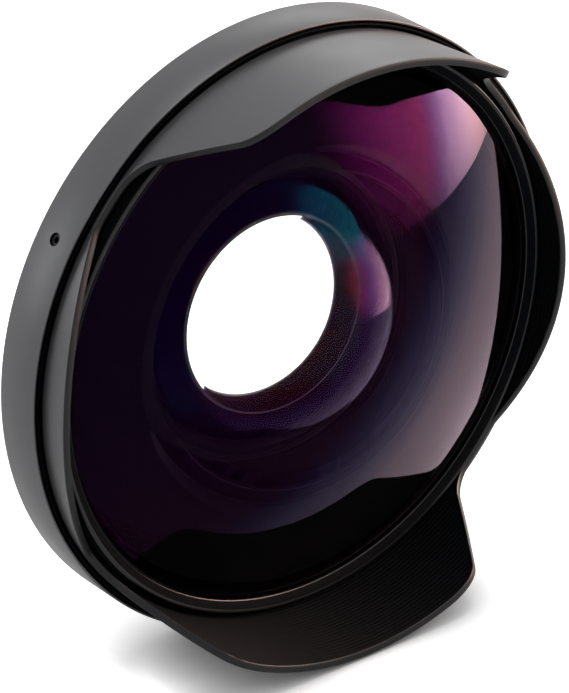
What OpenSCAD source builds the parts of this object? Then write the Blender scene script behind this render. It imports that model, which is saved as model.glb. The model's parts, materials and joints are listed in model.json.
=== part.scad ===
// Screw-on fisheye lens with a petal hood that turns on the barrel.
// The optical axis is Y: the glass looks along -Y, the thread points along +Y and Z is up.
// Every sub-part is drawn with the axis upright, then laid down so that its front faces -Y.
// Distances along the axis count forward from the seat of the rear thread.

/* [Barrel] */
// Outside diameter of the smooth band
barrel_d = 100; // [96:0.5:106]
// Length of the smooth band
band_l = 8.4; // [8:0.1:11]
// Chamfer on the band's edges
band_chamfer = 0.3; // [0.1:0.05:0.4]
// Wall outside the hood's slot, which the set screws pass through
band_wall = 1.85; // [1.7:0.05:2.4]
// Thickness behind the hood's slot
slot_web = 2; // [1.5:0.1:2.3]
// Wall of the tube that holds the front glass
tube_wall = 1.3; // [1:0.05:1.8]
// How far that tube stands in front of the band
tube_rise = 1.1; // [0.5:0.1:2]
// Width of the dark groove behind the band's front lip
groove_w = 0.4; // [0.2:0.05:0.5]
// Depth of that groove
groove_depth = 1; // [0.5:0.1:1.5]
// Width of the lip on each side of the groove
lip_w = 0.35; // [0.2:0.05:0.4]
// Depth of the recess that the hood's flare turns in
recess_depth = 1.9; // [1.6:0.1:2.2]
// Length of the rear neck
neck_l = 3; // [2:0.25:5]
// Length of the cone between the neck and the band
shoulder_l = 9; // [8:0.25:12]
// Radius where that cone meets the band's rear face
shoulder_r = 42; // [40:0.5:45]

/* [Petal hood] */
// Wall of the hood
hood_wall = 1.2; // [1:0.05:1.5]
// Running clearance outside and under the hood's skirt
hood_gap = 0.05; // [0.03:0.01:0.1]
// Clearance between the hood's skirt and the front tube
skirt_gap = 0.3; // [0.2:0.05:0.5]
// How far the hood's wall stands outside its skirt at the band's front
hood_step = 0.45; // [0.3:0.05:0.6]
// Flare of the hood's wall, in degrees
hood_flare = 3.6; // [0:0.2:4]
// How far the two long petals reach in front of the band
long_petal = 17.7; // [12:0.1:22]
// How far the two short petals reach in front of the band
short_petal = 6.2; // [4:0.1:10]
// How far the floors between petals stand in front of the band
valley_rise = 1.05; // [0.6:0.05:2]
// Half angle of a long petal at its front edge
petal_front_angle = 29; // [20:0.5:34]
// Half angle of a long petal at its root
petal_root_angle = 43; // [38:0.5:46]
// Half angle of a short petal at its root
side_root_angle = 34; // [26:0.5:38]
// Rounding of the petals' front corners
corner_round = 4; // [2:0.25:6]
// Rounding in the roots of the petals
root_round = 5; // [2:0.25:8]
// How far the hood is turned from upright, clockwise from the front, in degrees
hood_turn = 3; // [-10:0.5:10]
// Thickness of the slip ring under the hood
slip_t = 0.5; // [0.3:0.05:0.8]

/* [Set screws] */
// Thread diameter of the set screws
set_d = 2; // [1.6:0.1:2.5]
// How far their points reach into the groove in the hood's skirt
set_bite = 0.45; // [0.3:0.05:0.6]
// Clearance between those points and the groove
point_gap = 0.15; // [0.1:0.05:0.2]
// How far their heads lie below the band
set_sunk = 0.35; // [0.2:0.05:0.6]
// Running clearance round the set screws
set_gap = 0.04; // [0.03:0.01:0.08]
// Key size of the socket
set_key = 0.9; // [0.7:0.1:1.1]
// Depth of the socket
set_socket = 0.8; // [0.5:0.1:1]
// Angle of the first screw, from +X towards +Z
set_angle = 148; // [0:1:360]

/* [Front glass] */
// Radius of the front surface
front_radius = 80; // [70:1:110]
// Radius of its hollow rear surface
front_hollow = 32; // [30:0.5:36]
// Thickness on the axis
front_t = 3; // [2.6:0.1:4]
// Clearance round the edge of each glass
glass_gap = 0.05; // [0.03:0.01:0.1]
// Width of the step that the retaining ring bears on
front_step = 0.85; // [0.7:0.05:1.2]
// Depth of that step below the front of the tube
front_step_depth = 1.8; // [1.2:0.1:2.2]
// Depth of the glass seat below the front of the tube
seat_depth = 6.8; // [6.2:0.1:7.4]
// Thickness of the gasket under the glass
gasket_t = 0.5; // [0.3:0.05:0.7]
// Width of the gasket under the glass
gasket_w = 5; // [3:0.25:6]
// Thickness of the light baffle
baffle_t = 0.5; // [0.3:0.05:0.8]
// How far the light baffle reaches inside the rim of the hollow
baffle_lip = 1.5; // [0.5:0.1:3]
// Height of the retaining ring's inner edge in front of the tube
ring_inner = 0.5; // [0.3:0.05:0.8]
// Height of the retaining ring's outer edge in front of the tube
ring_outer = 1.3; // [1:0.05:1.8]
// Chamfer on the retaining ring's outer edge
ring_chamfer = 0.25; // [0.1:0.05:0.4]

/* [Rear cell] */
// Radius of the rear cell where the barrel holds it
cell_r = 27.5; // [27:0.1:28.5]
// Width of the cell's flange
cell_flange_w = 4.5; // [3:0.25:6]
// Thickness of the cell's flange
cell_flange_t = 1.5; // [1:0.1:1.8]
// Depth of the flange's seat below the baffle
cell_seat = 3.5; // [3.2:0.1:4.2]
// Height of the cell in front of its flange
cell_lip = 0.8; // [0.5:0.1:1]
// Gap between the lock ring and the light baffle
lock_relief = 0.5; // [0.3:0.1:0.8]
// Clearance between the cell and what holds it
cell_gap = 0.05; // [0.03:0.01:0.1]
// Width of the cell's shoulder that the mount holds
cell_land = 0.7; // [0.5:0.1:1]
// Clearance between the cell's tail and the mount
tail_gap = 1.8; // [1:0.1:2.5]
// How far the tail reaches behind the rear retaining ring
tail_lip = 0.9; // [0.5:0.1:1.2]
// Depth of the second glass's seat below the flange's seat
second_seat = 4.8; // [4.4:0.1:5.2]
// Radius of the second glass
second_r = 25.9; // [25.4:0.1:26.2]
// Radius of its front surface
second_radius = 106; // [90:2:130]
// Radius of its hollow rear surface
second_hollow = 32.2; // [30:0.2:36]
// Depth of that hollow
hollow_depth = 6; // [5.4:0.1:6.6]
// Width of the step that its retaining ring bears on
second_step = 0.8; // [0.6:0.05:1]
// Height of that step
second_rise = 3.6; // [3:0.1:4]
// Edge thickness of the second glass
second_edge = 1.7; // [1.2:0.1:2.2]
// Thickness of its retaining ring
second_ring_t = 1.9; // [1.2:0.1:2.1]
// Gap between the rim of that hollow and the crown behind it
crown_gap = 0.2; // [0.1:0.05:0.6]

/* [Doublet] */
// Radius of the cemented pair
doublet_r = 20; // [19.6:0.1:20.4]
// Width of the step that the pair is held by
doublet_step = 1; // [0.8:0.05:1.3]
// Height of that step
doublet_rise = 0.6; // [0.4:0.05:0.8]
// Radius of the crown's front surface
crown_radius = 110; // [90:2:140]
// Edge thickness of the crown
crown_edge = 1.5; // [1:0.1:2]
// Radius of the cemented surface
cement_radius = 128; // [110:2:150]
// Thickness of the cement between crown and flint
cement_t = 0.03; // [0.01:0.01:0.05]
// Thickness of the flint on the axis
flint_t = 2; // [1.6:0.1:2.4]
// Radius of the flint's rear surface
flint_radius = 500; // [300:10:700]
// Thickness of the rear retaining ring
rear_ring_t = 1.8; // [1.2:0.1:2]
// Width of the two spanner slots in the rear retaining ring
spanner_w = 1.2; // [0.8:0.1:1.6]
// Depth of those slots
spanner_depth = 0.6; // [0.4:0.1:0.8]

/* [Mount] */
// Diameter of the male filter thread
thread_d = 58; // [56:0.5:59]
// Length of that thread
thread_l = 4; // [3:0.25:6]
// Wall under that thread
thread_wall = 2.2; // [1.8:0.1:2.6]
// Thickness of the mount's flange
flange_t = 2.5; // [2:0.1:3.5]
// Number of mounting screws
screw_count = 4; // [3:1:6]
// Thread diameter of the mounting screws
screw_d = 1.6; // [1.4:0.1:1.8]
// Head diameter of the mounting screws
screw_head_d = 3; // [2.6:0.1:3.2]
// Length of the mounting screws
screw_l = 5; // [4.5:0.1:5.5]
// Rim of the flange on each side of the screw heads
screw_edge = 0.5; // [0.4:0.05:1]
// Clearance round the mounting screws
screw_gap = 0.05; // [0.03:0.01:0.1]
// Width of the drive slots in the screw heads
drive_w = 0.45; // [0.3:0.05:0.6]
// Length of the drive slots
drive_l = 1.8; // [1.4:0.1:2]
// Depth of the drive slots
drive_depth = 0.4; // [0.2:0.05:0.5]
// Width of the mount's seal
seal_w = 1.5; // [1:0.1:1.8]
// Thickness of the mount's seal
seal_t = 0.6; // [0.4:0.05:0.8]

/* [Hidden] */
$fn = 96;
ball_sides = 360;
set_count = 3;
past = 1;

// Depth of a spherical surface of radius R at a distance r from the axis
function sag(R, r) = R - sqrt(R * R - r * r);

// Distance from the axis at which a spherical surface of radius R has a given depth
function chord(R, depth) = sqrt(2 * R * depth - depth * depth);

// Radii, from the band inwards
barrel_r = barrel_d / 2;
slot_r = barrel_r - band_wall;
skirt_r = slot_r - hood_gap;
skirt_bore = skirt_r - hood_wall;
tube_r = skirt_bore - skirt_gap;
seat_r = tube_r - tube_wall;
front_r = seat_r - glass_gap;
front_clear = front_r - front_step;
ring_bore = front_clear + 2 * glass_gap;
ring_r = tube_r - ring_chamfer;
outer_lip = barrel_r - lip_w;
inner_lip = outer_lip - groove_w;
recess_r = inner_lip - lip_w;
second_clear = second_r - second_step;
doublet_clear = doublet_r - doublet_step;
web_bore = doublet_clear + 4 * glass_gap;
thread_r = thread_d / 2;
mount_bore_r = min(thread_r - thread_wall, cell_r - cell_land);
cell_flange_r = cell_r + cell_flange_w;
cell_tail_r = mount_bore_r - tail_gap;
seal_r = cell_r + cell_gap;
screw_circle_r = max(seal_r + seal_w, thread_r) + screw_edge + screw_head_d / 2;
neck_r = screw_circle_r + screw_head_d / 2 + screw_edge;
screw_head_h = (screw_head_d - screw_d) / 2;

// Set screws, from the outer end to the point
set_head = barrel_r - set_sunk;
set_tip = skirt_r - set_bite;
set_point = set_d / 4;
point_r = set_d / 2 - set_point;

// Stations along the axis
band_back = flange_t + neck_l + shoulder_l;
band_front = band_back + band_l;
slot_floor = band_back + slot_web;
recess_floor = band_front - recess_depth;
tube_front = band_front + tube_rise;
seat = tube_front - seat_depth;
front_back = seat + baffle_t + gasket_t;
set_height = band_back + band_l / 2;
cell_shelf = seat - cell_seat;
lock_front = seat - lock_relief;
second_back = cell_shelf - second_seat;
second_ring_back = second_back + second_edge;
second_ring_front = second_ring_back + second_ring_t;
cell_front = cell_shelf + cell_flange_t + cell_lip;
second_rim = chord(second_hollow, hollow_depth);
crown_bulge = doublet_rise + sag(crown_radius, doublet_clear) - sag(crown_radius, second_rim);
doublet_seat = second_back - crown_gap - crown_bulge;
cement_rim = doublet_seat - crown_edge;

// Lens vertices and centres of curvature
front_centre = tube_front - front_radius + sag(front_radius, front_clear);
hollow_centre = front_centre + front_radius - front_t - front_hollow;
second_inner = second_back + hollow_depth;
second_vertex = second_ring_back + second_rise + sag(second_radius, second_clear);
baffle_hole = chord(front_hollow, hollow_centre + front_hollow - front_back) - baffle_lip;
crown_vertex = doublet_seat + doublet_rise + sag(crown_radius, doublet_clear);
cement_vertex = cement_rim - sag(cement_radius, doublet_r);
flint_front = cement_vertex - cement_t;
flint_vertex = flint_front - flint_t;
flint_rim = flint_vertex + sag(flint_radius, doublet_clear) + doublet_rise;
rear_ring_back = flint_rim - rear_ring_t;
cell_back = rear_ring_back - tail_lip;

// Hood outline, seen along the line through its short petals
hood_base = slot_floor + slip_t + hood_gap;
hood_r = skirt_r + hood_step;
petal_tip = band_front + long_petal;
side_tip = band_front + short_petal;
valley = band_front + valley_rise;
tip_r = hood_r + long_petal * tan(hood_flare);
front_half = tip_r * cos(petal_front_angle);
root_half = hood_r * cos(petal_root_angle);
side_half = hood_r * sin(side_root_angle);
side_rise = side_tip - valley;
side_radius = (side_half * side_half + side_rise * side_rise) / (2 * side_rise);

// Lays a sub-part down, so that its front faces -Y
module forward() {
    rotate([90, 0, 0]) children();
}

// A plain ring between two radii and two stations
module ring(inner, outer, from, to) {
    rotate_extrude() translate([inner, from]) square([outer - inner, to - from]);
}

// A ball of the given radius whose centre lies at a station on the axis
module ball(radius, centre) {
    translate([0, 0, centre]) sphere(r = radius, $fn = ball_sides);
}

// Copies spread evenly round the axis
module around(count, first = 0) {
    for (i = [0 : count - 1]) rotate([0, 0, first + i * 360 / count]) children();
}

// Lies along the radius of one set screw, with the axis of the screw on +Z
module on_screw(i) {
    rotate([0, 0, set_angle + i * 360 / set_count])
        translate([0, 0, set_height]) rotate([0, 90, 0]) children();
}

// Places of the mounting screws
module on_mount_screws() {
    around(screw_count, 180 / screw_count) translate([screw_circle_r, 0, 0]) children();
}

// Main body: neck, cone, smooth band and the tube for the front glass
module barrel() {
    color("#3a3a3c") forward() difference() {
        rotate_extrude() polygon([
            [cell_r + cell_gap, flange_t],
            [neck_r, flange_t],
            [neck_r, flange_t + neck_l],
            [shoulder_r, band_back],
            [barrel_r - band_chamfer, band_back],
            [barrel_r, band_back + band_chamfer],
            [barrel_r, band_front - band_chamfer],
            [barrel_r - band_chamfer, band_front],
            [outer_lip, band_front],
            [outer_lip, band_front - groove_depth],
            [inner_lip, band_front - groove_depth],
            [inner_lip, band_front],
            [recess_r, band_front],
            [recess_r, recess_floor],
            [slot_r, recess_floor],
            [slot_r, slot_floor],
            [tube_r, slot_floor],
            [tube_r, tube_front],
            [seat_r, tube_front],
            [seat_r, seat],
            [cell_flange_r + cell_gap, seat],
            [cell_flange_r + cell_gap, cell_shelf],
            [cell_r + cell_gap, cell_shelf]
        ]);
        for (i = [0 : set_count - 1]) on_screw(i)
            translate([0, 0, slot_r - past]) cylinder(r = set_d / 2 + set_gap, h = band_wall + 2 * past);
        on_mount_screws() cylinder(r = screw_d / 2 + screw_gap, h = screw_l + past);
    }
}

// Side view of the hood: two long petals, two short ones and the floors between
module hood_outline() {
    reach = barrel_d;
    offset(r = corner_round) offset(delta = -corner_round)
        offset(r = -root_round) offset(delta = root_round) {
            translate([-reach, -reach]) square([2 * reach, reach + valley]);
            intersection() {
                translate([0, side_tip - side_radius]) circle(r = side_radius);
                translate([-side_half, 0]) square([2 * side_half, side_tip]);
            }
            for (side = [0, 1]) mirror([side, 0]) polygon([
                [root_half, valley - past],
                [root_half, valley],
                [front_half, petal_tip],
                [reach, petal_tip],
                [reach, valley - past]
            ]);
        }
}

// Petal hood: a skirt that turns in the barrel's slot and a flared wall cut to petals
module petal_hood() {
    top = petal_tip + past;
    top_r = hood_r + (top - band_front) * tan(hood_flare);
    flare_start = recess_floor + hood_step;
    flare_end = flare_start + hood_step;
    groove_deep = set_bite + point_gap;
    groove_half = point_r + groove_deep;
    color("#4a4a4c") forward() intersection() {
        rotate_extrude() polygon([
            [skirt_bore, hood_base],
            [skirt_r, hood_base],
            [skirt_r, set_height - groove_half],
            [skirt_r - groove_deep, set_height - point_r],
            [skirt_r - groove_deep, set_height + point_r],
            [skirt_r, set_height + groove_half],
            [skirt_r, flare_start],
            [hood_r - (band_front - flare_end) * tan(hood_flare), flare_end],
            [top_r, top],
            [top_r - hood_wall, top],
            [hood_r - hood_wall, band_front],
            [skirt_bore, band_front]
        ]);
        rotate([0, 0, -hood_turn]) rotate([90, 0, 90])
            linear_extrude(height = 2 * barrel_d, center = true) hood_outline();
    }
}

// Low-friction ring that the hood's skirt turns on
module slip_ring() {
    color("#d8d8d4") forward() ring(skirt_bore, skirt_r, slot_floor, slot_floor + slip_t);
}

// Headless screw with a socket, whose point stands in the skirt's groove
module set_screw(i) {
    shank = set_tip + set_point;
    color("#202022") forward() on_screw(i) difference() {
        union() {
            translate([0, 0, shank]) cylinder(d = set_d, h = set_head - shank);
            translate([0, 0, set_tip]) cylinder(r1 = point_r, r2 = set_d / 2, h = set_point);
        }
        translate([0, 0, set_head - set_socket])
            cylinder(d = set_key / cos(30), h = set_socket + past, $fn = 6);
    }
}

// Large front glass: a dome with a deep hollow and a ground step round its front
module front_element() {
    color("#3a1f4a", 0.6) forward() difference() {
        intersection() {
            union() {
                cylinder(r = front_clear, h = front_centre + front_radius + past);
                cylinder(r = front_r, h = tube_front - front_step_depth);
            }
            ball(front_radius, front_centre);
            translate([0, 0, front_back]) cylinder(r = barrel_r, h = front_radius);
        }
        ball(front_hollow, hollow_centre);
    }
}

// Rubber gasket between the light baffle and the front glass
module front_gasket() {
    color("#1c1c1c") forward() ring(front_r - gasket_w, front_r, front_back - gasket_t, front_back);
}

// Matt plate that hides the inside of the barrel round the second glass
module light_baffle() {
    color("#101010") forward() ring(baffle_hole, front_r, seat, seat + baffle_t);
}

// Ring that screws into the front tube and holds the front glass down
module front_retaining_ring() {
    color("#3c3c40") forward() rotate_extrude() polygon([
        [ring_bore, tube_front - front_step_depth],
        [front_r, tube_front - front_step_depth],
        [front_r, tube_front],
        [ring_r, tube_front],
        [ring_r, tube_front + ring_outer - ring_chamfer],
        [ring_r - ring_chamfer, tube_front + ring_outer],
        [ring_bore, tube_front + ring_inner]
    ]);
}

// Cell that carries the second glass and the doublet
module rear_cell() {
    color("#2c2c2e") forward() rotate_extrude() polygon([
        [doublet_r + glass_gap, cell_back],
        [cell_tail_r, cell_back],
        [cell_tail_r, flange_t],
        [cell_r, flange_t],
        [cell_r, cell_shelf],
        [cell_flange_r, cell_shelf],
        [cell_flange_r, cell_shelf + cell_flange_t],
        [cell_r, cell_shelf + cell_flange_t],
        [cell_r, cell_front],
        [second_r + glass_gap, cell_front],
        [second_r + glass_gap, second_back],
        [web_bore, second_back],
        [web_bore, doublet_seat],
        [doublet_r + glass_gap, doublet_seat]
    ]);
}

// Ring that locks the rear cell's flange on its shelf
module cell_lock_ring() {
    color("#2c2c2e") forward()
        ring(cell_r + cell_gap, cell_flange_r, cell_shelf + cell_flange_t, lock_front);
}

// Strong meniscus behind the front glass
module second_element() {
    color("#1f4a5a", 0.6) forward() difference() {
        intersection() {
            union() {
                cylinder(r = second_clear, h = second_vertex + past);
                cylinder(r = second_r, h = second_ring_back);
            }
            ball(second_radius, second_vertex - second_radius);
            translate([0, 0, second_back]) cylinder(r = barrel_r, h = second_radius);
        }
        ball(second_hollow, second_inner - second_hollow);
    }
}

// Ring that holds the second glass in the cell
module second_retaining_ring() {
    color("#18181a") forward()
        ring(second_clear + 2 * glass_gap, second_r, second_ring_back, second_ring_front);
}

// Front half of the cemented pair
module crown_element() {
    color("#2a4a3a", 0.6) forward() union() {
        intersection() {
            translate([0, 0, cement_rim]) cylinder(r = doublet_clear, h = crown_vertex - cement_rim + past);
            ball(crown_radius, crown_vertex - crown_radius);
        }
        intersection() {
            translate([0, 0, cement_vertex]) cylinder(r = doublet_r, h = doublet_seat - cement_vertex);
            ball(cement_radius, cement_vertex + cement_radius);
        }
    }
}

// Rear half of the cemented pair
module flint_element() {
    color("#4a4a2a", 0.6) forward() intersection() {
        difference() {
            union() {
                translate([0, 0, flint_rim]) cylinder(r = doublet_r, h = cement_rim - flint_rim + past);
                translate([0, 0, flint_vertex]) cylinder(r = doublet_clear, h = cement_rim - flint_vertex);
            }
            ball(cement_radius, flint_front + cement_radius);
        }
        ball(flint_radius, flint_vertex + flint_radius);
    }
}

// Ring with two spanner slots that holds the doublet in the cell
module rear_retaining_ring() {
    color("#18181a") forward() difference() {
        ring(web_bore, doublet_r, rear_ring_back, flint_rim);
        translate([0, 0, rear_ring_back]) cube([3 * doublet_r, spanner_w, 2 * spanner_depth], center = true);
    }
}

// Mount with the male thread that screws into a filter thread
module mount_ring() {
    color("#3a3a3c") forward() difference() {
        union() {
            ring(mount_bore_r, neck_r, 0, flange_t);
            ring(mount_bore_r, thread_r, -thread_l, flange_t);
        }
        ring(seal_r, seal_r + seal_w, flange_t - seal_t, flange_t + past);
        on_mount_screws() {
            cylinder(r = screw_d / 2 + screw_gap, h = flange_t + past);
            cylinder(r1 = screw_head_d / 2 + screw_gap, r2 = screw_d / 2 + screw_gap, h = screw_head_h);
        }
    }
}

// Seal between the mount and the barrel
module mount_seal() {
    color("#1c1c1c") forward()
        ring(seal_r, seal_r + seal_w, flange_t - seal_t, flange_t);
}

// Countersunk screws that hold the mount on the barrel
module mount_screws() {
    color("#8a8a8c") forward() on_mount_screws() difference() {
        union() {
            cylinder(d = screw_d, h = screw_l);
            cylinder(d1 = screw_head_d, d2 = screw_d, h = screw_head_h);
        }
        for (turn = [0, 90]) rotate([0, 0, turn])
            cube([drive_l, drive_w, 2 * drive_depth], center = true);
    }
}

barrel();
petal_hood();
slip_ring();
set_screw(0);  // set_screw_1
set_screw(1);  // set_screw_2
set_screw(2);  // set_screw_3
front_element();
front_gasket();
light_baffle();
front_retaining_ring();
rear_cell();
cell_lock_ring();
second_element();
second_retaining_ring();
crown_element();
flint_element();
rear_retaining_ring();
mount_ring();
mount_seal();
mount_screws();
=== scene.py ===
"""Screw-on fisheye lens with a petal hood: its finished pieces, its materials and a plain studio."""

import json
import math

import bmesh
import bpy
import numpy as np
from bpy.props import FloatProperty, FloatVectorProperty, IntProperty, PointerProperty
from bpy.types import Operator, Panel, PropertyGroup
from mathutils import Euler, Matrix, Vector


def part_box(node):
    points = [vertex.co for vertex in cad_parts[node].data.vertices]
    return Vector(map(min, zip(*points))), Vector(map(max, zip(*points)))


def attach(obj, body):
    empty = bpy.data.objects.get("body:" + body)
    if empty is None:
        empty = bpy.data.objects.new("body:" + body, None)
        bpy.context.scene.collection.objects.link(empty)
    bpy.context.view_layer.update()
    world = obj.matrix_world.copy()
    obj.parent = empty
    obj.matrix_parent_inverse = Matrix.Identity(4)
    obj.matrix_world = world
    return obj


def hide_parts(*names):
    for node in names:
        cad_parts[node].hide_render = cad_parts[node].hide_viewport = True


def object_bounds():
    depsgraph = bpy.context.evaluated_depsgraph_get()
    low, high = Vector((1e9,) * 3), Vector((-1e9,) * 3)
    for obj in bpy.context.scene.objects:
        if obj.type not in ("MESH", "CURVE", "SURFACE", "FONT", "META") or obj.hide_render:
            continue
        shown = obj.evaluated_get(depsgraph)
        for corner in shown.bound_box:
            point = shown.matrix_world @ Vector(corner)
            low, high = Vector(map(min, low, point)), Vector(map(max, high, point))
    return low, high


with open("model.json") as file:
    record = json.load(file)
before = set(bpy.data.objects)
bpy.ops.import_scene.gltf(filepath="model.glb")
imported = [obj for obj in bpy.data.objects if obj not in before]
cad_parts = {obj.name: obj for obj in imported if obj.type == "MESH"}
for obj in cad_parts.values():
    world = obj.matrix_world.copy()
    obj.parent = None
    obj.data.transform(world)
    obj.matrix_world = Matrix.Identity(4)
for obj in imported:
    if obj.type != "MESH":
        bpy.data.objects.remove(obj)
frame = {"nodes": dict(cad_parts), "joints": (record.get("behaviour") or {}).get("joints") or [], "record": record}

bl_info = {
    "name": "Fisheye lens with petal hood",
    "version": (1, 0, 0),
    "blender": (4, 5, 0),
    "location": "3D View > Sidebar > Lens",
    "description": "Models the finished pieces of a screw-on fisheye lens on its packed frame",
    "category": "Object",
}

MM = 0.001
CAD_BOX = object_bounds()
ROOT = "lens_body"
HOOD = "hood"


def linear(code):
    """Linear RGBA of an sRGB hex colour."""
    parts = [int(code[i:i + 2], 16) / 255 for i in (1, 3, 5)]
    return tuple(c / 12.92 if c <= 0.04045 else ((c + 0.055) / 1.055) ** 2.4 for c in parts) + (1.0,)


def reach(node):
    """Radius, rear station and front station of a frame node, in millimetres from the thread's seat."""
    low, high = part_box(node)
    return high.x / MM, -high.y / MM, -low.y / MM


def sag(radius, distance):
    """Depth of a spherical surface at a distance from its axis."""
    return radius - math.sqrt(radius ** 2 - distance ** 2)


def chord(radius, depth):
    """Distance from the axis at which a spherical surface has a depth."""
    return math.sqrt(2 * radius * depth - depth ** 2)


# Stations and radii that the frame gives, in millimetres
BARREL_R, _, TUBE_FRONT = reach("barrel")
SKIRT_R, SLIP_BACK, _ = reach("slip_ring")
_, HOOD_BASE, PETAL_TIP = reach("petal_hood")
FRONT_R, FRONT_BACK, FRONT_VERTEX = reach("front_element")
RING_R, RING_BACK, RING_FRONT = reach("front_retaining_ring")
BAFFLE_R, BAFFLE_BACK, BAFFLE_FRONT = reach("light_baffle")
SECOND_R, SECOND_BACK, SECOND_VERTEX = reach("second_element")
KEEPER_R, KEEPER_BACK, KEEPER_FRONT = reach("second_retaining_ring")
DOUBLET_R, CEMENT_VERTEX, CROWN_VERTEX = reach("crown_element")
_, FLINT_VERTEX, _ = reach("flint_element")
_, _, FLINT_RIM = reach("rear_retaining_ring")
CELL_FLANGE_R, CELL_BACK, CELL_FRONT = reach("rear_cell")
NECK_R, THREAD_BACK, FLANGE_FRONT = reach("mount_ring")
SCREW_JOINTS = [j for j in frame["joints"] if j["type"] == "slide"]
SCREW_STATION = -SCREW_JOINTS[0]["pos_m"][1] / MM
THREAD_R = frame["record"]["mounts"][0]["dims"]["r_mm"]

# Sizes of the section that repeat the frame's, in millimetres
FIT = 0.05
NECK_L = 3.0
SHOULDER_L = 9.0
SHOULDER_R = 42.0
BAND_BACK = FLANGE_FRONT + NECK_L + SHOULDER_L
TUBE_RISE = 1.1
BAND_FRONT = TUBE_FRONT - TUBE_RISE
LIP_W = 0.35
GROOVE_W = 0.4
GROOVE_DEPTH = 1.0
SLOT_R = SKIRT_R + FIT
RECESS_R = BARREL_R - 2 * LIP_W - GROOVE_W
RECESS_DEPTH = 1.9
RECESS_FLOOR = BAND_FRONT - RECESS_DEPTH
HOOD_WALL = 1.2
HOOD_STEP = 0.45
HOOD_R = SKIRT_R + HOOD_STEP
FLARE = math.tan(math.radians(3.6))
HOOD_TURN = math.radians(3.0)
VALLEY = BAND_FRONT + 1.05
SIDE_TIP = BAND_FRONT + 6.2
PETAL_FRONT_ANGLE = math.radians(29.0)
PETAL_ROOT_ANGLE = math.radians(43.0)
SIDE_ROOT_ANGLE = math.radians(34.0)
CORNER_ROUND = 4.0
ROOT_ROUND = 5.0
SKIRT_BORE = SKIRT_R - HOOD_WALL
SKIRT_GAP = 0.3
TUBE_R = SKIRT_BORE - SKIRT_GAP
SEAT_R = FRONT_R + FIT
FRONT_STEP = 0.85
FRONT_CLEAR = FRONT_R - FRONT_STEP
RING_BORE = FRONT_CLEAR + 2 * FIT
CELL_FLANGE_W = 4.5
CELL_R = CELL_FLANGE_R - CELL_FLANGE_W
CELL_SEAT = 3.5
CELL_SHELF = BAFFLE_BACK - CELL_SEAT
CELL_FLANGE_T = 1.5
THREAD_WALL = 2.2
MOUNT_BORE = THREAD_R - THREAD_WALL
TAIL_GAP = 1.8
CELL_TAIL_R = MOUNT_BORE - TAIL_GAP
DOUBLET_STEP = 1.0
DOUBLET_CLEAR = DOUBLET_R - DOUBLET_STEP
DOUBLET_RISE = 0.6
WEB_BORE = DOUBLET_CLEAR + 4 * FIT
SECOND_STEP = 0.8
SECOND_CLEAR = SECOND_R - SECOND_STEP
SET_HOLE_R = 1.04

# Radii of the glass surfaces, in millimetres
FRONT_RADIUS = 80.0
FRONT_HOLLOW = 32.0
FRONT_T = 3.0
SECOND_RADIUS = 106.0
SECOND_HOLLOW = 32.2
SECOND_DEPTH = 6.0
CROWN_RADIUS = 110.0
CEMENT_RADIUS = 128.0
FLINT_RADIUS = 500.0
CEMENT_T = 0.03
BAFFLE_LIP = 1.5
CROWN_SEAT = CROWN_VERTEX - sag(CROWN_RADIUS, DOUBLET_CLEAR) - DOUBLET_RISE
HOLLOW_RIM = chord(FRONT_HOLLOW, FRONT_VERTEX - FRONT_T - FRONT_BACK)
GLASS_CHAMFER = 0.2

# Turns of a surface past which an edge is broken, and past which it is shaded as an edge
SHARP = math.radians(30)
CREASE = math.radians(35)


class LensSizes(PropertyGroup):
    """Sizes of the surface detail."""

    turns: IntProperty(
        name="Turned steps", description="Steps of a turned piece round the optical axis",
        default=240, min=96, max=720)
    edge_break: FloatProperty(
        name="Edge break", description="Radius broken on the turned edges",
        default=0.1 * MM, min=0.02 * MM, max=0.3 * MM, unit="LENGTH", precision=5)
    hood_groove_pitch: FloatProperty(
        name="Hood groove pitch", description="Spacing of the anti-glare grooves inside the hood",
        default=0.75 * MM, min=0.4 * MM, max=1.5 * MM, unit="LENGTH", precision=5)
    hood_groove_depth: FloatProperty(
        name="Hood groove depth", description="Depth of the anti-glare grooves inside the hood",
        default=0.22 * MM, min=0.05 * MM, max=0.4 * MM, unit="LENGTH", precision=5)
    thread_pitch: FloatProperty(
        name="Thread pitch", description="Pitch of the rear filter thread",
        default=0.75 * MM, min=0.5 * MM, max=1.0 * MM, unit="LENGTH", precision=5)


class LensColours(PropertyGroup):
    """Colours of the finishes."""

    anodised: FloatVectorProperty(
        name="Anodised black", description="Dyed black of the turned aluminium",
        default=linear("#58585a"), size=4, min=0.0, max=1.0, subtype="COLOR")
    baffle: FloatVectorProperty(
        name="Baffle black", description="Light-absorbing black inside the hood and behind the glass",
        default=linear("#060607"), size=4, min=0.0, max=1.0, subtype="COLOR")
    floor: FloatVectorProperty(
        name="Studio floor", description="Pale floor under the lens",
        default=linear("#f2f2f2"), size=4, min=0.0, max=1.0, subtype="COLOR")


class StudioView(PropertyGroup):
    """Where the camera stands."""

    azimuth: FloatProperty(
        name="Azimuth", description="Turn of the camera about the vertical, from straight in front",
        default=math.radians(-38.18), subtype="ANGLE")
    elevation: FloatProperty(
        name="Elevation", description="Height of the camera above the level",
        default=math.radians(27.21), subtype="ANGLE")
    distance: FloatProperty(
        name="Distance", description="Distance from the camera to the rear edge of the band",
        default=0.690, min=0.2, unit="LENGTH")
    focal: FloatProperty(
        name="Focal length", description="Focal length of the camera in millimetres",
        default=231.8, min=20.0, unit="CAMERA")
    offset: FloatVectorProperty(
        name="Offset", description="Place of the band's centre to the right of and above the frame's middle",
        default=(-2.82 * MM, 5.58 * MM), size=2, unit="LENGTH", precision=5)


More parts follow.
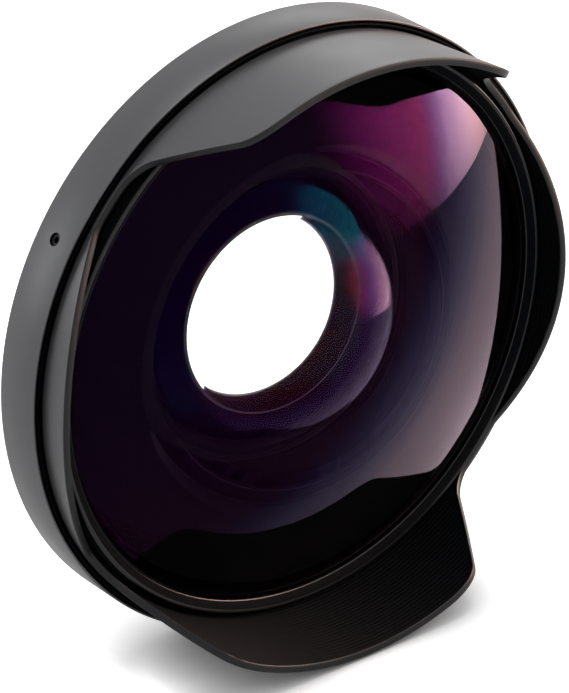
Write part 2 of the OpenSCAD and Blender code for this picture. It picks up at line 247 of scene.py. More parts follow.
def add_node(tree, kind, values=None, links=None):
    """Adds a node, sets its inputs or properties and links outputs to its inputs."""
    node = tree.nodes.new(kind)
    for key, value in (values or {}).items():
        if isinstance(key, int) or key in node.inputs:
            node.inputs[key].default_value = value
        else:
            setattr(node, key, value)
    for key, source in (links or {}).items():
        tree.links.new(source, node.inputs[key])
    return node


def new_material(name):
    """An empty node material, its tree and its output node."""
    material = bpy.data.materials.new(name)
    material.use_nodes = True
    tree = material.node_tree
    tree.nodes.clear()
    return material, tree, add_node(tree, "ShaderNodeOutputMaterial")


def made_once(build):
    """Keeps the material that a builder makes, so that each finish is made once."""
    made = {}

    def get():
        if build not in made:
            made[build] = build()
        return made[build]
    return get


def grained(name, settings, grain_mm, roughness, bump=0.0, gloss_mm=None):
    """A finish with a grain that bump raises; its roughness wanders with it, or more broadly over gloss_mm."""
    material, tree, output = new_material(name)
    place = add_node(tree, "ShaderNodeTexCoord").outputs["Object"]
    fine = add_node(tree, "ShaderNodeTexNoise", {"Scale": 1 / (grain_mm * MM)},
                    {"Vector": place}).outputs["Fac"]
    gloss = fine
    if gloss_mm:
        gloss = add_node(tree, "ShaderNodeTexNoise", {"Scale": 1 / (gloss_mm * MM)},
                         {"Vector": place}).outputs["Fac"]
    low, high = roughness
    dull = add_node(tree, "ShaderNodeMapRange",
                    {"From Min": 0.3, "From Max": 0.7, "To Min": low, "To Max": high}, {"Value": gloss})
    shader = add_node(tree, "ShaderNodeBsdfPrincipled", settings, {"Roughness": dull.outputs["Result"]})
    if bump:
        relief = add_node(tree, "ShaderNodeBump", {"Strength": bump, "Distance": 0.02 * MM}, {"Height": fine})
        tree.links.new(relief.outputs["Normal"], shader.inputs["Normal"])
    tree.links.new(shader.outputs["BSDF"], output.inputs["Surface"])
    return material


@made_once
def anodised_aluminium():
    """Bead-blasted and black-anodised aluminium: a satin black with soft grey sheen and a faint grain."""
    settings = {"Base Color": bpy.context.scene.lens_colours.anodised, "Metallic": 0.75}
    # The blasted grain is finer than a pixel, so it is drawn at 0.35 mm
    return grained("anodised_aluminium", settings, 0.35, (0.38, 0.46), 0.06, 14.0)


@made_once
def turned_black():
    """Fine-turned and blackened aluminium: a dark grey line along the petals' edge and the front ring."""
    settings = {"Base Color": linear("#222224"), "Metallic": 0.75}
    return grained("turned_black_aluminium", settings, 0.3, (0.32, 0.4))


@made_once
def flocked_black():
    """Light-absorbing black paint: nearly no sheen, with the dry grain of a dull spray coat."""
    settings = {"Base Color": bpy.context.scene.lens_colours.baffle, "Specular IOR Level": 0.04,
                "Specular Tint": linear("#c8e4ff")}
    # The spray grain is drawn at 0.3 mm so that it shows
    return grained("dull_black_paint", settings, 0.3, (0.65, 0.8), 0.03)


@made_once
def blackened_steel():
    """Blackened steel: a dark oil-finished metal with a small hard glint."""
    settings = {"Base Color": linear("#060607"), "Metallic": 0.3, "Specular IOR Level": 0.2}
    return grained("blackened_steel", settings, 0.2, (0.35, 0.5))


@made_once
def nitrile_rubber():
    """Moulded nitrile rubber: dull black with a fine uneven skin."""
    return grained("nitrile_rubber", {"Base Color": linear("#161616")}, 0.25, (0.65, 0.8), 0.2)


@made_once
def slip_plastic():
    """Cut low-friction plastic sheet: milky white, waxy and slightly mottled."""
    material, tree, output = new_material("slip_plastic")
    place = add_node(tree, "ShaderNodeTexCoord").outputs["Object"]
    mottle_mm = 3.0
    mottle = add_node(tree, "ShaderNodeTexNoise", {"Scale": 1 / (mottle_mm * MM)}, {"Vector": place})
    shades = {"data_type": "RGBA", "A": linear("#d2d2cc"), "B": linear("#dededa")}
    tint = add_node(tree, "ShaderNodeMix", shades, {"Factor": mottle.outputs["Fac"]})
    shader = add_node(tree, "ShaderNodeBsdfPrincipled", {"Roughness": 0.45},
                      {"Base Color": tint.outputs["Result"]})
    tree.links.new(shader.outputs["BSDF"], output.inputs["Surface"])
    return material


def coated_glass(name, index, film_nm, slant_nm, slant, slant_index, tints):
    """Polished glass: its coating tints reflections, thickens towards a slant and then loses its hold."""
    material, tree, output = new_material(name)
    facing = add_node(tree, "ShaderNodeLayerWeight", {"Blend": 0.5}).outputs["Facing"]
    film = add_node(tree, "ShaderNodeMapRange", {"From Max": slant, "To Min": film_nm, "To Max": slant_nm},
                    {"Value": facing})
    bend = add_node(tree, "ShaderNodeMapRange", {"From Min": slant - 0.04, "From Max": slant + 0.16,
                                                 "To Min": 1.22, "To Max": slant_index}, {"Value": facing})
    shader = add_node(tree, "ShaderNodeBsdfPrincipled",
                      {"Base Color": (1.0, 1.0, 1.0, 1.0), "Roughness": 0.0, "IOR": index,
                       "Transmission Weight": 1.0, "Specular Tint": linear(tints[0][1])},
                      {"Thin Film Thickness": film.outputs["Result"],
                       "Thin Film IOR": bend.outputs["Result"]})
    if len(tints) > 1:
        ramp = add_node(tree, "ShaderNodeValToRGB", None, {"Fac": facing})
        stops = ramp.color_ramp.elements
        while len(stops) < len(tints):
            stops.new(1.0)
        for stop, (place, colour) in zip(stops, tints):
            stop.position, stop.color = place, linear(colour)
        tree.links.new(ramp.outputs["Color"], shader.inputs["Specular Tint"])
    tree.links.new(shader.outputs["BSDF"], output.inputs["Surface"])
    return material


@made_once
def violet_crown():
    """Crown glass with a coating of many layers: violet reflections that turn magenta and pink at a slant."""
    return coated_glass("crown_glass_violet_coating", 1.52, 110.0, 141.0, 0.4, 1.5,
                        [(0.24, "#ffd0f1"), (0.36, "#f4ccee"), (0.48, "#f0d2f2"), (0.6, "#ffd8ea")])


@made_once
def pink_crown():
    """Crown glass coated on its hollow: a violet reflection that turns pink at a slant."""
    return coated_glass("crown_glass_pink_coating", 1.52, 116.0, 206.0, 0.13, 1.45, [(0.0, "#f4d8ff")])


@made_once
def teal_crown():
    """Crown glass with a thick coating: dark when faced, a dim blue-green reflection at a slant."""
    return coated_glass("crown_glass_teal_coating", 1.52, 116.0, 172.0, 0.3, 1.26, [(0.0, "#8a8c6c")])


@made_once
def teal_flint():
    """Dense flint glass with a thick coating: a dim blue-green reflection."""
    return coated_glass("flint_glass_teal_coating", 1.62, 134.0, 150.0, 0.4, 1.3, [(0.0, "#e8ffff")])


@made_once
def ground_edge():
    """Finely ground glass edge under black lens paint: dead black with a dry surface."""
    settings = {"Base Color": linear("#030304"), "Specular IOR Level": 0.01}
    return grained("blackened_glass_edge", settings, 0.2, (0.6, 0.75))


@made_once
def ground_chamfer():
    """Bare ground chamfer on a glass edge: a frosted line that catches the light."""
    return grained("ground_glass_chamfer", {"Base Color": linear("#343238")}, 0.15, (0.45, 0.6))


def arc(radius, vertex, start, end, pieces, bulge):
    """Points of a glass surface from one distance to another; bulge is 1 to the front, -1 to the rear."""
    first, last = math.asin(start / radius), math.asin(end / radius)
    angles = [first + (last - first) * i / pieces for i in range(pieces + 1)]
    return [(radius * math.sin(a), vertex - bulge * radius * (1 - math.cos(a))) for a in angles]


def turn(bm, points, slot=0, closed=True, steps=None):
    """Spins a profile of (distance from the axis, station) points once round the optical axis, into bm."""
    lathe = bmesh.new()
    verts = [lathe.verts.new((r * MM, -h * MM, 0.0)) for r, h in points]
    pairs = list(zip(verts, verts[1:]))
    if closed:
        pairs.append((verts[-1], verts[0]))
    edges = [lathe.edges.new(pair) for pair in pairs]
    bmesh.ops.spin(lathe, geom=verts + edges, cent=(0, 0, 0), axis=(0, 1, 0), angle=2 * math.pi,
                   steps=steps or bpy.context.scene.lens_sizes.turns, use_merge=True)
    for face in lathe.faces:
        face.material_index = slot
    mesh = bpy.data.meshes.new("lathe")
    lathe.to_mesh(mesh)
    lathe.free()
    bm.from_mesh(mesh)
    bpy.data.meshes.remove(mesh)


def place_of(face):
    """Distance from the axis and station of a face's middle, in millimetres."""
    corners = [v.co for v in face.verts]
    r = sum(math.hypot(c.x, c.z) for c in corners) / len(corners)
    return r / MM, -sum(c.y for c in corners) / len(corners) / MM


def weld(bm):
    """Merges doubled points and turns every face outwards."""
    bmesh.ops.remove_doubles(bm, verts=bm.verts, dist=0.0005 * MM)
    bmesh.ops.dissolve_degenerate(bm, dist=0.0002 * MM, edges=bm.edges)
    bmesh.ops.recalc_face_normals(bm, faces=bm.faces)


def break_edges(bm, width):
    """Rounds every edge that turns by more than SHARP."""
    sharp = [e for e in bm.edges if len(e.link_faces) == 2 and e.calc_face_angle(0.0) > SHARP]
    bmesh.ops.bevel(bm, geom=sharp, offset=width, offset_type="OFFSET", affect="EDGES", segments=2,
                    profile=0.5, material=-1, clamp_overlap=True)


def finish_piece(bm, name, materials, body, nodes):
    """Turns a bmesh into a smooth piece that rides on a body and stands for frame nodes."""
    mesh = bpy.data.meshes.new(name)
    bm.to_mesh(mesh)
    bm.free()
    mesh.shade_smooth()
    mesh.set_sharp_from_angle(angle=CREASE)
    for material in materials:
        mesh.materials.append(material)
    piece = bpy.data.objects.new(name, mesh)
    bpy.context.scene.collection.objects.link(piece)
    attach(piece, body)
    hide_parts(*nodes)
    return piece


def turned_piece(name, points, material, node):
    """A turned piece of one material with broken edges, in place of a frame node."""
    bm = bmesh.new()
    turn(bm, points)
    weld(bm)
    break_edges(bm, bpy.context.scene.lens_sizes.edge_break)
    return finish_piece(bm, name, [material], ROOT, [node])


def drilled(piece, cutters):
    """Cuts holes in a piece with the meshes of cutter objects, then removes the cutters."""
    for cutter in cutters:
        cut = piece.modifiers.new("hole", "BOOLEAN")
        cut.operation = "DIFFERENCE"
        cut.solver = "EXACT"
        cut.object = cutter
    bpy.context.view_layer.update()
    shown = piece.evaluated_get(bpy.context.evaluated_depsgraph_get())
    mesh = bpy.data.meshes.new_from_object(shown)
    piece.modifiers.clear()
    piece.data = mesh
    mesh.set_sharp_from_angle(angle=CREASE)
    for cutter in cutters:
        bpy.data.objects.remove(cutter)


def hole_cutter(axis):
    """A plain drill along a radius of the band."""
    bm = bmesh.new()
    outwards = Vector(axis).to_track_quat("Z", "Y").to_matrix().to_4x4()
    low, high = SLOT_R - 0.5, BARREL_R + 0.5
    place = outwards @ Matrix.Translation((0, 0, (low + high) / 2 * MM))
    move = Matrix.Translation((0, -SCREW_STATION * MM, 0)) @ place
    bmesh.ops.create_cone(bm, cap_ends=True, segments=48, radius1=SET_HOLE_R * MM, radius2=SET_HOLE_R * MM,
                          depth=(high - low) * MM, matrix=move)
    # The drill leaves the hole's wall dull black: painted shade inside the hole
    for face in bm.faces:
        face.material_index = 1
    mesh = bpy.data.meshes.new("drill")
    bm.to_mesh(mesh)
    bm.free()
    cutter = bpy.data.objects.new("drill", mesh)
    bpy.context.scene.collection.objects.link(cutter)
    return cutter


class LENS_OT_barrel(Operator):
    """Turn the barrel: neck, cone, satin band, front lips and the tube for the glass"""

    bl_idname = "lens.barrel"
    bl_label = "Barrel"

    def execute(self, context):
        outer_lip = BARREL_R - LIP_W
        inner_lip = outer_lip - GROOVE_W
        profile = [
            (CELL_R + FIT, FLANGE_FRONT), (NECK_R, FLANGE_FRONT), (NECK_R, FLANGE_FRONT + NECK_L),
            (SHOULDER_R, BAND_BACK), (BARREL_R, BAND_BACK), (BARREL_R, BAND_FRONT),
            (outer_lip, BAND_FRONT), (outer_lip, BAND_FRONT - GROOVE_DEPTH),
            (inner_lip, BAND_FRONT - GROOVE_DEPTH), (inner_lip, BAND_FRONT),
            (RECESS_R, BAND_FRONT), (RECESS_R, RECESS_FLOOR), (SLOT_R, RECESS_FLOOR),
            (SLOT_R, SLIP_BACK), (TUBE_R, SLIP_BACK), (TUBE_R, TUBE_FRONT), (SEAT_R, TUBE_FRONT),
            (SEAT_R, BAFFLE_BACK), (CELL_FLANGE_R + FIT, BAFFLE_BACK),
            (CELL_FLANGE_R + FIT, CELL_SHELF), (CELL_R + FIT, CELL_SHELF),
        ]
        bm = bmesh.new()
        turn(bm, profile)
        weld(bm)
        for face in bm.faces:
            r, h = place_of(face)
            # The tube for the glass is dull black paint, as inside any lens; the slot round the hood, the groove
            # and lip at the band's front and the holes are dull black as painted shade in the gaps
            face.material_index = 1 if r < outer_lip and h > BAND_BACK + 0.1 else 0
        break_edges(bm, context.scene.lens_sizes.edge_break)
        piece = finish_piece(bm, "barrel_shell", [anodised_aluminium(), flocked_black()], ROOT, ["barrel"])
        drilled(piece, [hole_cutter(j["axis"]) for j in SCREW_JOINTS])
        return {"FINISHED"}


def rounded(corners, pieces=10):
    """Points of an open outline whose (u, h, radius) corners become arcs."""
    outline = [Vector(corners[0][:2])]
    for before, here, after in zip(corners, corners[1:], corners[2:]):
        at, radius = Vector(here[:2]), here[2]
        back = (Vector(before[:2]) - at).normalized()
        ahead = (Vector(after[:2]) - at).normalized()
        half = back.angle(ahead) / 2
        centre = at + (back + ahead).normalized() * radius / math.sin(half)
        first = at + back * radius / math.tan(half) - centre
        sweep = first.angle_signed(at + ahead * radius / math.tan(half) - centre)
        for i in range(pieces + 1):
            outline.append(centre + Matrix.Rotation(-sweep * i / pieces, 2) @ first)
    outline.append(Vector(corners[-1][:2]))
    return outline


def petal_outline():
    """Angles, stations and path of the hood's edge, from a short petal's middle to a long one's."""
    tip_r = HOOD_R + (PETAL_TIP - BAND_FRONT) * FLARE
    root, front = HOOD_R * math.cos(PETAL_ROOT_ANGLE), tip_r * math.cos(PETAL_FRONT_ANGLE)
    side_half, rise = HOOD_R * math.sin(SIDE_ROOT_ANGLE), SIDE_TIP - VALLEY
    side_radius = (side_half ** 2 + rise ** 2) / (2 * rise)
    bow = [(u, h, side_radius) for u, h in arc(side_radius, SIDE_TIP, 0.0, side_half, 24, 1)]
    corners = [(bow[-2][0], bow[-2][1], 0.0), (side_half, VALLEY, ROOT_ROUND), (root, VALLEY, ROOT_ROUND),
               (front, PETAL_TIP, CORNER_ROUND), (tip_r, PETAL_TIP, 0.0)]
    points = [Vector(p[:2]) for p in bow[:-2]] + rounded(corners)[1:]
    radii = [HOOD_R + (p.y - BAND_FRONT) * FLARE for p in points]
    angles = [math.asin(min(1.0, p.x / r)) for p, r in zip(points, radii)]
    run = [0.0]
    for before, here, a, b, r in zip(points, points[1:], angles, angles[1:], radii[1:]):
        run.append(run[-1] + math.hypot(here.y - before.y, (b - a) * r))
    return angles, [p.y for p in points], [s / run[-1] * math.pi / 2 for s in run]


class LENS_OT_hood(Operator):
    """Turn the petal hood with its grooved inside and cut its wall to petals"""

    bl_idname = "lens.hood"
    bl_label = "Petal hood"

    def execute(self, context):
        sizes = context.scene.lens_sizes
        pitch, depth = sizes.hood_groove_pitch / MM, sizes.hood_groove_depth / MM
        rim = 0.2
        flare_start = RECESS_FLOOR + HOOD_STEP

        def outside(h):
            return HOOD_R + (h - BAND_FRONT) * FLARE

        def inside(h):
            return outside(h) - HOOD_WALL

        count = int((PETAL_TIP - rim - BAND_FRONT) / pitch)
        grooves = []
        for i in range(count):
            crest = BAND_FRONT + 0.3 + i * pitch
            grooves += [(inside(crest), crest), (inside(crest) + depth, crest + pitch / 2)]
        top, base = PETAL_TIP, PETAL_TIP - rim
        root = BAND_FRONT + 0.3
        rows = [base - (base - root) * i / 24 for i in range(1, 25)] + [BAND_FRONT]
        profile = (
            [(SKIRT_BORE, HOOD_BASE), (SKIRT_BORE, BAND_FRONT), (inside(BAND_FRONT), BAND_FRONT)]
            + grooves
            + [(inside(base), base), (inside(top) + 0.06, top - 0.06), (inside(top) + rim, top),
               (outside(top) - rim, top), (outside(top) - 0.06, top - 0.06), (outside(base), base)]
            + [(outside(h), h) for h in rows]
            + [(outside(flare_start + HOOD_STEP), flare_start + HOOD_STEP), (SKIRT_R, flare_start),
               (SKIRT_R, SCREW_STATION + 1.1), (SKIRT_R - 0.6, SCREW_STATION + 0.5),
               (SKIRT_R - 0.6, SCREW_STATION - 0.5), (SKIRT_R, SCREW_STATION - 1.1), (SKIRT_R, HOOD_BASE)]
        )
        bm = bmesh.new()
        turn(bm, profile, steps=400)
        for face in bm.faces:
            r, h = place_of(face)
            # The rim is turned and the inside is dull black paint; the root below the band's front is dull black
            # as painted shade where it runs into the slot
            if h > base:
                face.material_index = 2
            elif h < root or r < outside(h) - HOOD_WALL * 0.7:
                face.material_index = 1
        angles, heights, path = petal_outline()
        for vert in bm.verts:
            r, h = math.hypot(vert.co.x, vert.co.z) / MM, -vert.co.y / MM
            # The turned steps are spread evenly along the petals' edge, so that its corners come out round
            even = math.atan2(abs(vert.co.z), abs(vert.co.x))
            slope = float(np.interp(even, path, angles))
            edge = float(np.interp(slope, angles, heights))
            if h > base - 1e-4:
                drop = top - edge
                r, h = r - drop * FLARE, h - drop
            elif h > edge - rim:
                r = outside(edge - rim) if r > inside(h) + HOOD_WALL / 2 else inside(edge - rim)
                h = edge - rim
            vert.co = (math.copysign(r * math.cos(slope), vert.co.x) * MM, -h * MM,
                       math.copysign(r * math.sin(slope), vert.co.z) * MM)
        bmesh.ops.rotate(bm, verts=bm.verts, cent=(0, 0, 0), matrix=Matrix.Rotation(HOOD_TURN, 3, "Y"))
        weld(bm)
        finish_piece(bm, "petal_hood_shell", [anodised_aluminium(), flocked_black(), turned_black()], HOOD,
                     ["petal_hood"])
        return {"FINISHED"}


def glass_piece(name, front, edge, rear, coats, node, chamfers=()):
    """A polished element: front surface, painted edge, rear surface and bare chamfers share their rims."""
    bm = bmesh.new()
    turn(bm, front, slot=0, closed=False)
    turn(bm, edge, slot=1, closed=False)
    turn(bm, rear, slot=2, closed=False)
    for chamfer in chamfers:
        turn(bm, chamfer, slot=3, closed=False)
    weld(bm)
    return finish_piece(bm, name, [coats[0], ground_edge(), coats[1], ground_chamfer()], ROOT, [node])


class LENS_OT_front_glass(Operator):
    """Polish the large front meniscus"""

    bl_idname = "lens.front_glass"
    bl_label = "Front glass"

    def execute(self, context):
        front = arc(FRONT_RADIUS, FRONT_VERTEX, 0.0, FRONT_CLEAR - GLASS_CHAMFER, 40, 1)
        rear = arc(FRONT_HOLLOW, FRONT_VERTEX - FRONT_T, HOLLOW_RIM, 0.0, 40, 1)
        chamfer = [front[-1], (FRONT_CLEAR, TUBE_FRONT - GLASS_CHAMFER)]
        edge = [chamfer[-1], (FRONT_CLEAR, RING_BACK), (FRONT_R, RING_BACK), (FRONT_R, FRONT_BACK), rear[0]]
        glass_piece("front_meniscus", front, edge, rear, (violet_crown(), pink_crown()), "front_element",
                    [chamfer])
        return {"FINISHED"}


class LENS_OT_rear_glass(Operator):
    """Polish the second meniscus and the cemented pair"""

    bl_idname = "lens.rear_glass"
    bl_label = "Rear glass"

    def execute(self, context):
        front = arc(SECOND_RADIUS, SECOND_VERTEX, 0.0, SECOND_CLEAR, 36, 1)
        inner = SECOND_BACK + SECOND_DEPTH
        rim = chord(SECOND_HOLLOW, SECOND_DEPTH)
        rear = arc(SECOND_HOLLOW, inner, chord(SECOND_HOLLOW, SECOND_DEPTH - GLASS_CHAMFER), 0.0, 36, 1)
        chamfer = [(rim + GLASS_CHAMFER, SECOND_BACK), rear[0]]
        edge = [front[-1], (SECOND_CLEAR, KEEPER_BACK), (SECOND_R, KEEPER_BACK), (SECOND_R, SECOND_BACK),
                chamfer[0]]
        glass_piece("second_meniscus", front, edge, rear, (teal_crown(), pink_crown()), "second_element",
                    [chamfer])

        cement_edge = CEMENT_VERTEX + sag(CEMENT_RADIUS, DOUBLET_R)
        front = arc(CROWN_RADIUS, CROWN_VERTEX, 0.0, DOUBLET_CLEAR, 30, 1)
        rear = arc(CEMENT_RADIUS, CEMENT_VERTEX, DOUBLET_R, 0.0, 30, -1)
        edge = [front[-1], (DOUBLET_CLEAR, CROWN_SEAT), (DOUBLET_R, CROWN_SEAT), (DOUBLET_R, cement_edge)]
        glass_piece("doublet_crown", front, edge, rear, (violet_crown(), violet_crown()), "crown_element")

        front = arc(CEMENT_RADIUS, CEMENT_VERTEX - CEMENT_T, 0.0, DOUBLET_R, 30, -1)
        rear = arc(FLINT_RADIUS, FLINT_VERTEX, DOUBLET_CLEAR, 0.0, 30, -1)
        edge = [front[-1], (DOUBLET_R, FLINT_RIM), (DOUBLET_CLEAR, FLINT_RIM), rear[0]]
        glass_piece("doublet_flint", front, edge, rear, (teal_flint(), teal_flint()), "flint_element")
        return {"FINISHED"}


class LENS_OT_rings(Operator):
    """Turn the rings that hold the glass and the black plate behind it"""

    bl_idname = "lens.rings"
    bl_label = "Rings and baffle"

    def execute(self, context):
        profile = [
            (RING_BORE, RING_BACK), (FRONT_R, RING_BACK), (FRONT_R, TUBE_FRONT), (RING_R, TUBE_FRONT),
            (RING_R, RING_FRONT - 0.2), (RING_R - 0.15, RING_FRONT - 0.05), (RING_R - 0.6, RING_FRONT - 0.05),
            (RING_BORE + 0.12, TUBE_FRONT + 0.5), (RING_BORE, TUBE_FRONT + 0.38),
        ]
        bm = bmesh.new()
        turn(bm, profile)
        weld(bm)
        for face in bm.faces:
            r, h = place_of(face)
            # Only the land on its front and its broken inner edge are left as turned
            land = r > RING_R - 0.5 and h > RING_FRONT - 0.18
            inner_edge = RING_BORE + 0.02 < r < RING_BORE + 0.1 and h > TUBE_FRONT
            face.material_index = 1 if land or inner_edge else 0
        finish_piece(bm, "front_ring", [flocked_black(), turned_black()], ROOT, ["front_retaining_ring"])
        keeper_bore = SECOND_CLEAR + 2 * FIT
        profile = [(keeper_bore, KEEPER_BACK), (KEEPER_R, KEEPER_BACK),
                   (KEEPER_R, KEEPER_FRONT), (keeper_bore, KEEPER_FRONT)]
        turned_piece("second_ring", profile, flocked_black(), "second_retaining_ring")
        hole = HOLLOW_RIM - BAFFLE_LIP
        profile = [(hole, BAFFLE_BACK), (BAFFLE_R, BAFFLE_BACK),
                   (BAFFLE_R, BAFFLE_FRONT), (hole, BAFFLE_FRONT)]
        turned_piece("baffle_plate", profile, flocked_black(), "light_baffle")
        return {"FINISHED"}


class LENS_OT_rear(Operator):
    """Turn the rear cell and the threaded mount"""

    bl_idname = "lens.rear"
    bl_label = "Rear cell and mount"

    def execute(self, context):
        profile = [
            (DOUBLET_R + FIT, CELL_BACK), (CELL_TAIL_R, CELL_BACK), (CELL_TAIL_R, FLANGE_FRONT),
            (CELL_R, FLANGE_FRONT), (CELL_R, CELL_SHELF), (CELL_FLANGE_R, CELL_SHELF),
            (CELL_FLANGE_R, CELL_SHELF + CELL_FLANGE_T), (CELL_R, CELL_SHELF + CELL_FLANGE_T),
            (CELL_R, CELL_FRONT), (SECOND_R + FIT, CELL_FRONT), (SECOND_R + FIT, SECOND_BACK),
            (WEB_BORE, SECOND_BACK), (WEB_BORE, CROWN_SEAT), (DOUBLET_R + FIT, CROWN_SEAT),
        ]
        turned_piece("rear_cell_shell", profile, flocked_black(), "rear_cell")
        self.mount(context.scene.lens_sizes.thread_pitch / MM)
        return {"FINISHED"}

    def mount(self, pitch):
        """The flange with its male thread, cut as a helix."""
        rows = int(-THREAD_BACK / pitch * 6)
        thread = [(THREAD_R, -i * -THREAD_BACK / rows) for i in range(rows, -1, -1)]
        profile = [(MOUNT_BORE, THREAD_BACK)] + thread + [
            (NECK_R, 0.0), (NECK_R, FLANGE_FRONT), (MOUNT_BORE, FLANGE_FRONT)]
        bm = bmesh.new()
        turn(bm, profile)
        for vert in bm.verts:
            r, h = math.hypot(vert.co.x, vert.co.z) / MM, -vert.co.y / MM
            if abs(r - THREAD_R) < 0.01 and h < -0.01:
                phase = (h / pitch + math.atan2(vert.co.z, vert.co.x) / (2 * math.pi)) % 1.0
                depth = 0.6 * pitch * abs(2 * phase - 1) * min(1.0, (h - THREAD_BACK) / 0.4, -h / 0.4)
                vert.co.x *= 1 - depth / r
                vert.co.z *= 1 - depth / r
        weld(bm)
        finish_piece(bm, "threaded_mount", [anodised_aluminium()], ROOT, ["mount_ring"])


class LENS_OT_small_parts(Operator):
    """Finish the screws, seals and hidden rings that keep their own shapes"""

    bl_idname = "lens.small_parts"
    bl_label = "Small parts"

    def execute(self, context):
        finishes = {
            "set_screw_1": blackened_steel, "set_screw_2": blackened_steel, "set_screw_3": blackened_steel,
            "mount_screws": blackened_steel, "mount_seal": nitrile_rubber, "front_gasket": nitrile_rubber,
            "slip_ring": slip_plastic, "cell_lock_ring": flocked_black,
            "rear_retaining_ring": anodised_aluminium,
        }
        for node, finish in finishes.items():
            mesh = frame["nodes"][node].data
            mesh.materials.clear()
            mesh.materials.append(finish())
        return {"FINISHED"}


def softbox(name, place, size, power, colour="#ffffff", card=False):
    """An area lamp, fading to its edges, that points at the lens; a card only shows in gloss."""
    lamp = bpy.data.lights.new(name, "AREA")
    lamp.shape = "RECTANGLE"
    lamp.size, lamp.size_y = size
    lamp.energy = power
    lamp.use_nodes = True
    tree = lamp.node_tree
    tree.nodes.clear()
    spot = add_node(tree, "ShaderNodeNewGeometry").outputs["Parametric"]
    away = add_node(tree, "ShaderNodeVectorMath", {"operation": "DISTANCE", 1: (0.5, 0.5, 0.0)}, {0: spot})
    fade = add_node(tree, "ShaderNodeMapRange", {"interpolation_type": "SMOOTHSTEP", "From Min": 0.5,
                                                 "From Max": 0.1}, {"Value": away.outputs["Value"]})
    glow = add_node(tree, "ShaderNodeEmission", {"Color": linear(colour)},
                    {"Strength": fade.outputs["Result"]})
    add_node(tree, "ShaderNodeOutputLight", None, {"Surface": glow.outputs["Emission"]})
    holder = bpy.data.objects.new(name, lamp)
    bpy.context.scene.collection.objects.link(holder)
    holder.location = place
    holder.rotation_euler = (-Vector(place)).to_track_quat("-Z", "Y").to_euler()
    holder.visible_diffuse = not card


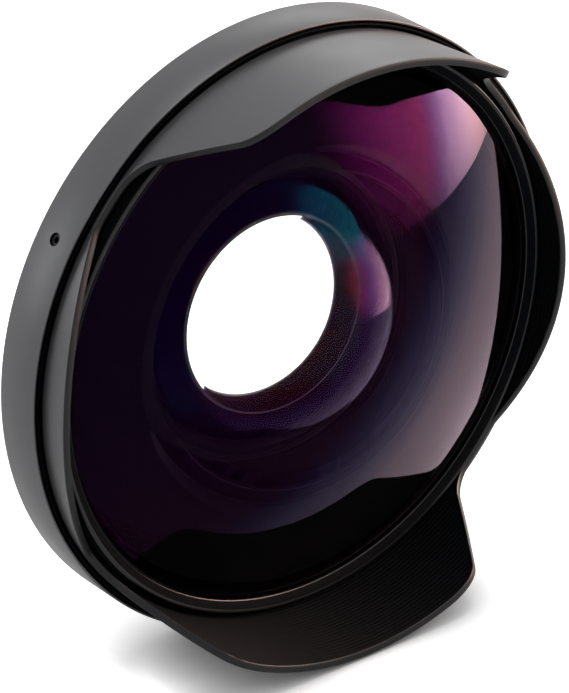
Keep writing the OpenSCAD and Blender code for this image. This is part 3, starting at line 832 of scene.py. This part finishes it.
class LENS_OT_studio(Operator):
    """Set the floor, the white surround, the lamps and the camera"""

    bl_idname = "lens.studio"
    bl_label = "Studio"

    def execute(self, context):
        scene = context.scene
        scene.view_settings.view_transform = "Standard"
        self.surround(scene)
        self.floor(scene)
        softbox("key", (0.0, 0.05, 1.1), (0.8, 0.8), 16.0)
        softbox("side_card", (0.44, -0.19, 0.13), (0.7, 0.55), 30.0, "#ffd4bc", card=True)
        softbox("front_card", (0.405, -0.579, 0.843), (1.3, 0.9), 6.0, card=True)
        softbox("left_card", (-0.8, 0.75, 0.25), (0.6, 0.5), 4.0, card=True)
        softbox("back_card", (0.66, 0.7, 0.45), (0.6, 0.5), 3.0, card=True)
        self.camera(scene)
        return {"FINISHED"}

    def surround(self, scene):
        """White to the eye, to mirrors and through glass; softer as a light."""
        world = bpy.data.worlds.new("white_surround")
        world.use_nodes = True
        tree = world.node_tree
        tree.nodes.clear()
        rays = add_node(tree, "ShaderNodeLightPath")
        seen = rays.outputs["Is Camera Ray"]
        for ray in ("Is Glossy Ray", "Is Transmission Ray"):
            seen = add_node(tree, "ShaderNodeMath", {"operation": "MAXIMUM"},
                            {0: seen, 1: rays.outputs[ray]}).outputs["Value"]
        strength = add_node(tree, "ShaderNodeMapRange", {"To Min": 0.4, "To Max": 1.0}, {"Value": seen})
        back = add_node(tree, "ShaderNodeBackground", {"Color": (1.0, 1.0, 1.0, 1.0)},
                        {"Strength": strength.outputs["Result"]})
        add_node(tree, "ShaderNodeOutputWorld", None, {"Surface": back.outputs["Background"]})
        scene.world = world

    def floor(self, scene):
        """A wide pale floor under the band that keeps the lens's shadow, with a painted contact shadow close under
        it.
        """
        bm = bmesh.new()
        bmesh.ops.create_grid(bm, x_segments=1, y_segments=1, size=3.0,
                              matrix=Matrix.Translation((0, 0, CAD_BOX[0].z)))
        mesh = bpy.data.meshes.new("studio_floor")
        bm.to_mesh(mesh)
        bm.free()
        floor = bpy.data.objects.new("studio_floor", mesh)
        scene.collection.objects.link(floor)
        material, tree, output = new_material("studio_floor")
        rays = add_node(tree, "ShaderNodeLightPath")
        lit = add_node(tree, "ShaderNodeBsdfDiffuse", {"Color": scene.lens_colours.floor})
        strength = None
        # The glow that keeps the floor white fades by ambient occlusion close under the lens: a painted contact
        # shadow where its shadow lies
        near = add_node(tree, "ShaderNodeAmbientOcclusion", {"Distance": 0.01, "samples": 8}).outputs["AO"]
        painted_shadow_fade = add_node(tree, "ShaderNodeMath", {"operation": "MULTIPLY"},
                           {0: near, 1: near}).outputs["Value"]
        for ray, level in (("Is Camera Ray", 0.85), ("Is Glossy Ray", 0.4), ("Is Transmission Ray", 0.7)):
            share = add_node(tree, "ShaderNodeMath", {"operation": "MULTIPLY", 1: level},
                             {0: rays.outputs[ray]})
            part = add_node(tree, "ShaderNodeMath", {"operation": "MULTIPLY"},
                            {0: share.outputs["Value"], 1: painted_shadow_fade})
            strength = part if strength is None else add_node(
                tree, "ShaderNodeMath", {"operation": "ADD"},
                {0: strength.outputs["Value"], 1: part.outputs["Value"]})
        glow = add_node(tree, "ShaderNodeEmission", {"Color": (1.0, 1.0, 1.0, 1.0)},
                        {"Strength": strength.outputs["Value"]})
        both = add_node(tree, "ShaderNodeAddShader", None,
                        {0: lit.outputs["BSDF"], 1: glow.outputs["Emission"]})
        tree.links.new(both.outputs["Shader"], output.inputs["Surface"])
        mesh.materials.append(material)

    def camera(self, scene):
        """A long lens that looks down on the band from the front left."""
        view = scene.studio_view
        turned = Euler((math.pi / 2 - view.elevation, 0.0, view.azimuth))
        axes = turned.to_matrix()
        right, up, back = axes.col[0], axes.col[1], axes.col[2]
        centre = Vector((0.0, -BAND_BACK * MM, 0.0))
        data = bpy.data.cameras.new("studio_camera")
        data.lens = view.focal
        data.sensor_width = 36.0
        data.clip_end = 20.0
        camera = bpy.data.objects.new("studio_camera", data)
        scene.collection.objects.link(camera)
        camera.rotation_euler = turned
        camera.location = centre + back * view.distance - right * view.offset[0] - up * view.offset[1]
        scene.camera = camera


class LENS_PT_pieces(Panel):
    """Lists the lens's pieces and sizes in the sidebar."""

    bl_idname = "LENS_PT_pieces"
    bl_label = "Fisheye lens"
    bl_space_type = "VIEW_3D"
    bl_region_type = "UI"
    bl_category = "Lens"

    def draw(self, context):
        for group in (context.scene.lens_sizes, context.scene.lens_colours, context.scene.studio_view):
            box = self.layout.box()
            for name in group.bl_rna.properties.keys():
                if name not in ("rna_type", "name"):
                    box.prop(group, name)
        for operator in OPERATORS:
            self.layout.operator(operator.bl_idname)


GROUPS = {"lens_sizes": LensSizes, "lens_colours": LensColours, "studio_view": StudioView}
OPERATORS = (LENS_OT_barrel, LENS_OT_hood, LENS_OT_front_glass, LENS_OT_rear_glass, LENS_OT_rings,
             LENS_OT_rear, LENS_OT_small_parts, LENS_OT_studio)


def register():
    for kind in (*GROUPS.values(), *OPERATORS, LENS_PT_pieces):
        bpy.utils.register_class(kind)
    for name, group in GROUPS.items():
        setattr(bpy.types.Scene, name, PointerProperty(type=group))


def unregister():
    for name in GROUPS:
        delattr(bpy.types.Scene, name)
    for kind in (LENS_PT_pieces, *reversed(OPERATORS), *GROUPS.values()):
        bpy.utils.unregister_class(kind)


def main():
    register()
    bpy.ops.lens.barrel()
    bpy.ops.lens.hood()
    bpy.ops.lens.front_glass()
    bpy.ops.lens.rear_glass()
    bpy.ops.lens.rings()
    bpy.ops.lens.rear()
    bpy.ops.lens.small_parts()
    bpy.ops.lens.studio()


if __name__ == "__main__":
    main()
